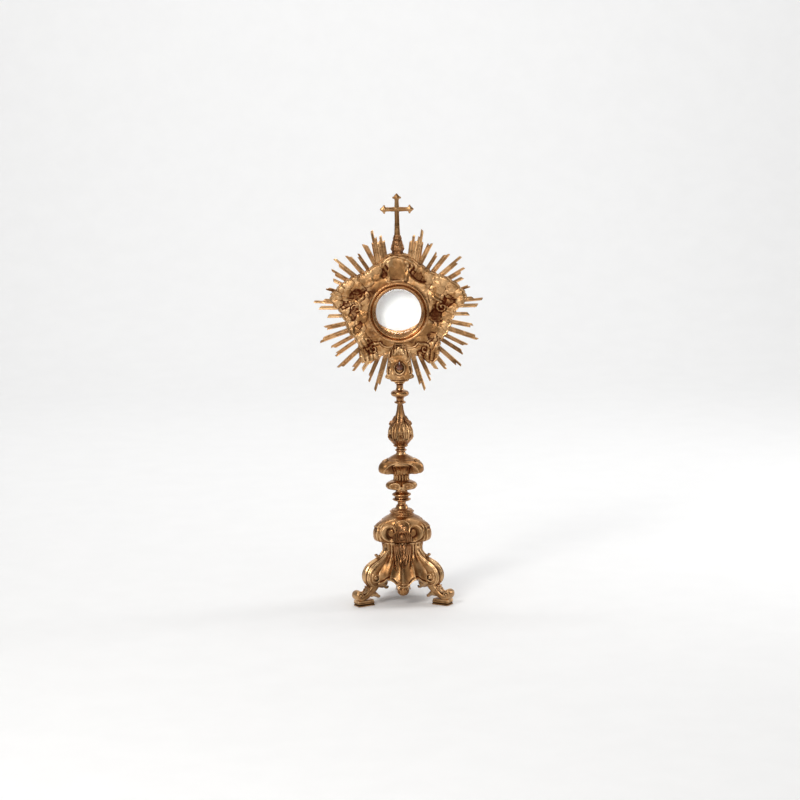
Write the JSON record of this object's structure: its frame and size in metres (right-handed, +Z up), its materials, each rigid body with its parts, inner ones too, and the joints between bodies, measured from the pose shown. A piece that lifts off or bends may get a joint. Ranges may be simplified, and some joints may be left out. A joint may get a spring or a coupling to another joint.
{
  "type": "monstrance",
  "caption": "Three-legged gilt brass monstrance with a baluster stem, a sunburst round a cloud plate, and a glazed capsule that slides out behind and opens at a lid.",
  "frame": {"origin": "bottom centre of the bounding box, on the table the three feet stand on", "axes": "+Z up along the stem, front facing -Y, +X to the right as seen from the front"},
  "size_m": [0.2764, 0.1502, 0.676],
  "materials": {
    "gilt_cast": "aged gilding over cast brass, brown in the hollows",
    "gilt_turned": "aged gilding over turned brass",
    "gilt_red": "reddish aged gilding",
    "gilt_sheet": "aged gilding over hammered sheet",
    "dark_brass": "bare brass, dull and brown",
    "steel": "dull",
    "clear_glass": "clear, polished",
    "wafer": "matt, off-white",
    "brown_stone": "polished cabochon"
  },
  "bodies": {
    "stand": {"leg_front_left": "gilt_cast", "leg_front_right": "gilt_cast", "leg_rear": "gilt_cast", "foot_plinths": "dark_brass", "shoulder_curls": "gilt_cast", "leg_screws": "steel", "base_bell": "gilt_cast", "apron_pendants": "gilt_cast", "husk_drops": "gilt_red", "base_cap": "gilt_cast", "cap_cartouches": "gilt_red", "base_collar": "gilt_turned", "stem_neck": "gilt_turned", "stem_rings": "gilt_turned", "knop_cup": "gilt_cast", "knop_crown": "gilt_cast", "upper_spool": "gilt_turned", "baluster": "gilt_turned", "lower_calyx": "gilt_red", "upper_calyx": "gilt_red", "stem_disc": "gilt_turned", "socket_neck": "gilt_turned", "tie_rod": "steel", "tie_nut": "steel", "tie_washer": "dark_brass", "glory_tang": "dark_brass", "tang_screws": "dark_brass", "sunburst_ring": "dark_brass", "rays_upper_right": "gilt_sheet", "rays_side_right": "gilt_sheet", "rays_lower_right": "gilt_sheet", "rays_upper_left": "gilt_sheet", "rays_side_left": "gilt_sheet", "rays_lower_left": "gilt_sheet", "ray_rivets": "dark_brass", "cloud_plate": "gilt_sheet", "cloud_relief": "gilt_sheet", "cloud_studs": "dark_brass", "cloud_nuts": "dark_brass", "shell_cartouche": "gilt_cast", "cartouche_gem": "brown_stone", "window_tube": "dark_brass", "window_bezel": "gilt_cast", "cross_socket": "gilt_red", "cross": "gilt_cast"},
    "capsule": {"capsule_ring": "gilt_turned", "front_glass": "clear_glass", "glass_snap_ring": "dark_brass", "lunula_front": "gilt_turned", "lunula_rear": "gilt_turned", "host_wafer": "wafer", "capsule_hinge": "gilt_turned", "hinge_pin": "dark_brass", "lid_catch": "dark_brass"},
    "lid": {"lid_ring": "gilt_turned", "lid_glass": "clear_glass", "lid_snap_ring": "dark_brass", "lid_hinge": "gilt_turned", "lid_knob": "gilt_turned"}
  },
  "joints": [
    {"name": "capsule_slide", "type": "slide", "parent": "stand", "child": "capsule", "axis": [0, 1, 0], "range_m": [0, 0.045]},
    {"name": "lid_hinge", "type": "hinge", "parent": "capsule", "child": "lid", "pos_m": [-0.0475, 0.00135, 0.483], "axis": [0, 0, 1], "range_deg": [0, 110]}
  ]
}
